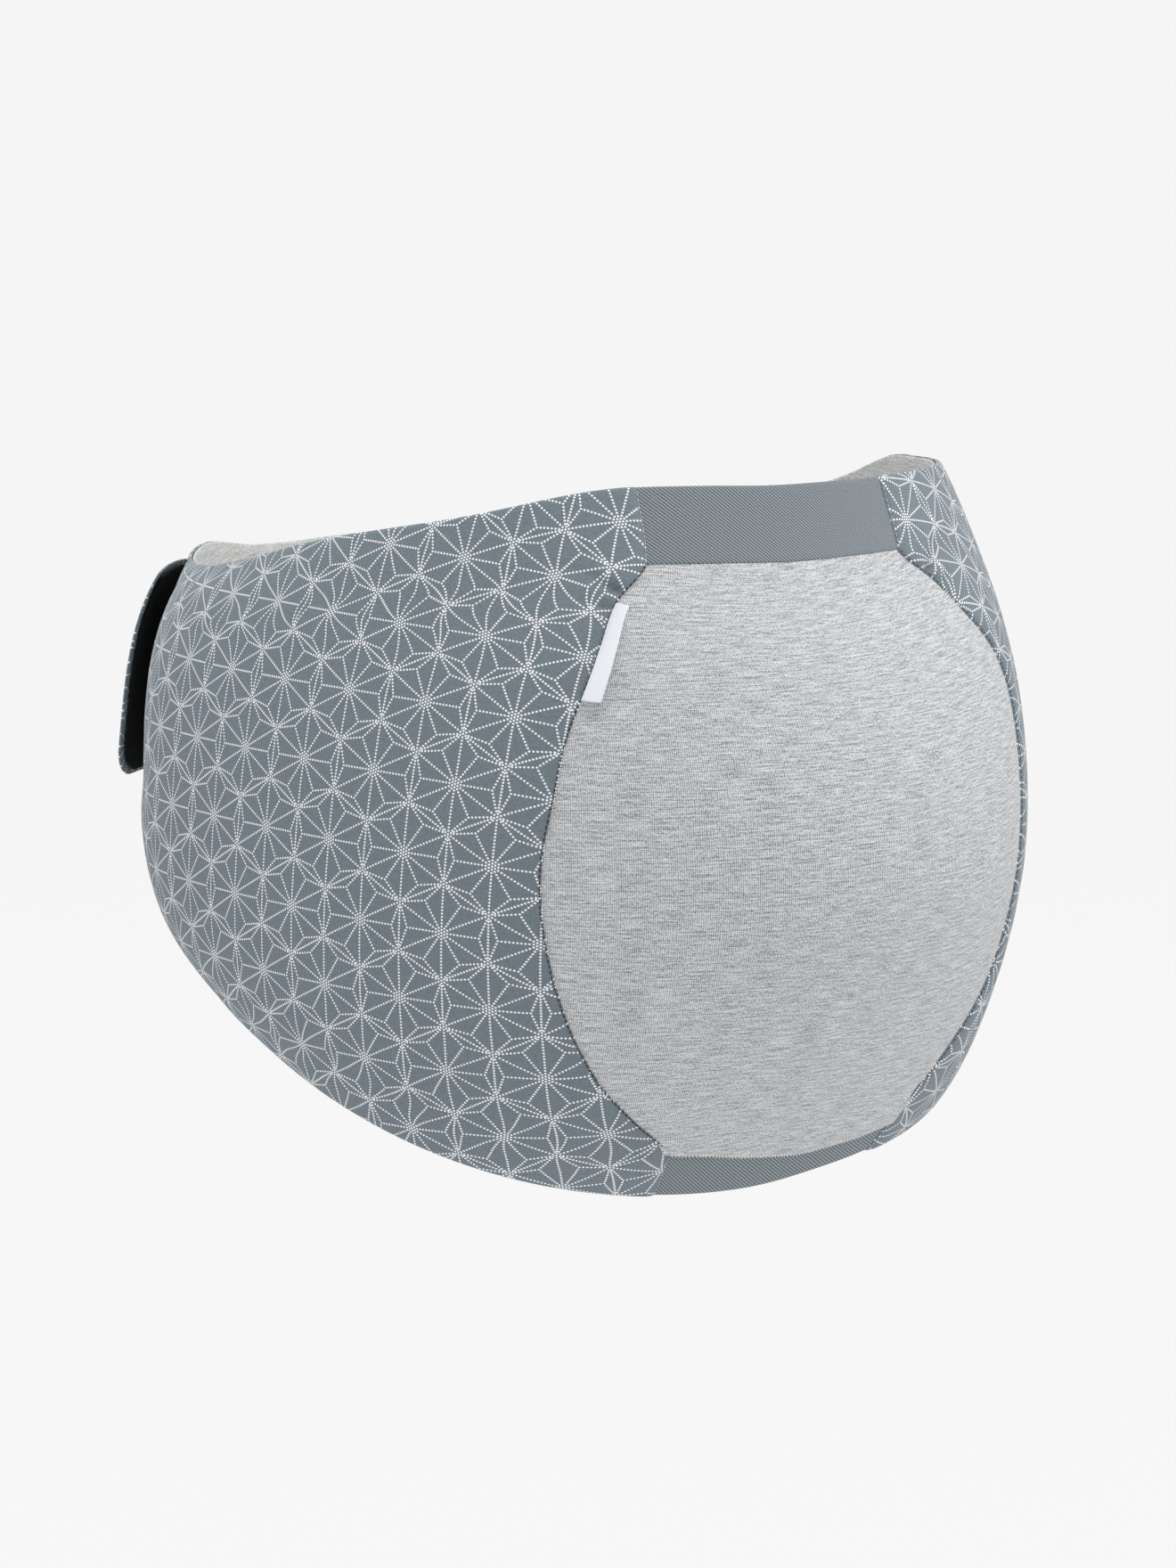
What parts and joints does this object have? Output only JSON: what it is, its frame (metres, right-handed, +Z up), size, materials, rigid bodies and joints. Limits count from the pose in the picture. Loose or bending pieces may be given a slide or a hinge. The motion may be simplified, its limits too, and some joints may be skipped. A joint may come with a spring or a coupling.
{
  "type": "maternity sleep belt",
  "caption": "Padded maternity sleep belt in its worn form: stretch belly panel between elastic bands, printed side wings with a soft lining, and a hook tab that closes at the back.",
  "frame": {"origin": "on the torso's axis at waist height, in the middle of the belt's hollow", "axes": "+Z up the torso, -Y towards the wearer's front, +X towards the wearer's left"},
  "size_m": [0.3986, 0.3633, 0.297],
  "materials": {
    "jersey": "fine stretch jersey, light heather grey",
    "elastic": "woven elastic with a diagonal twill line, slate grey",
    "print": "slate grey knit with a white dotted hemp-leaf print",
    "lining": "soft jersey lining, light heather grey",
    "hook_tape": "black hook tape",
    "label": "white woven ribbon, blank"
  },
  "bodies": {
    "root": {"belly_panel": "jersey", "upper_band": "elastic", "lower_band": "elastic", "right_wing": "print", "left_wing": "print", "right_lining": "lining", "left_lining": "lining", "closure_tab": "print", "hook_patch": "hook_tape", "side_label": "label"}
  },
  "joints": []
}
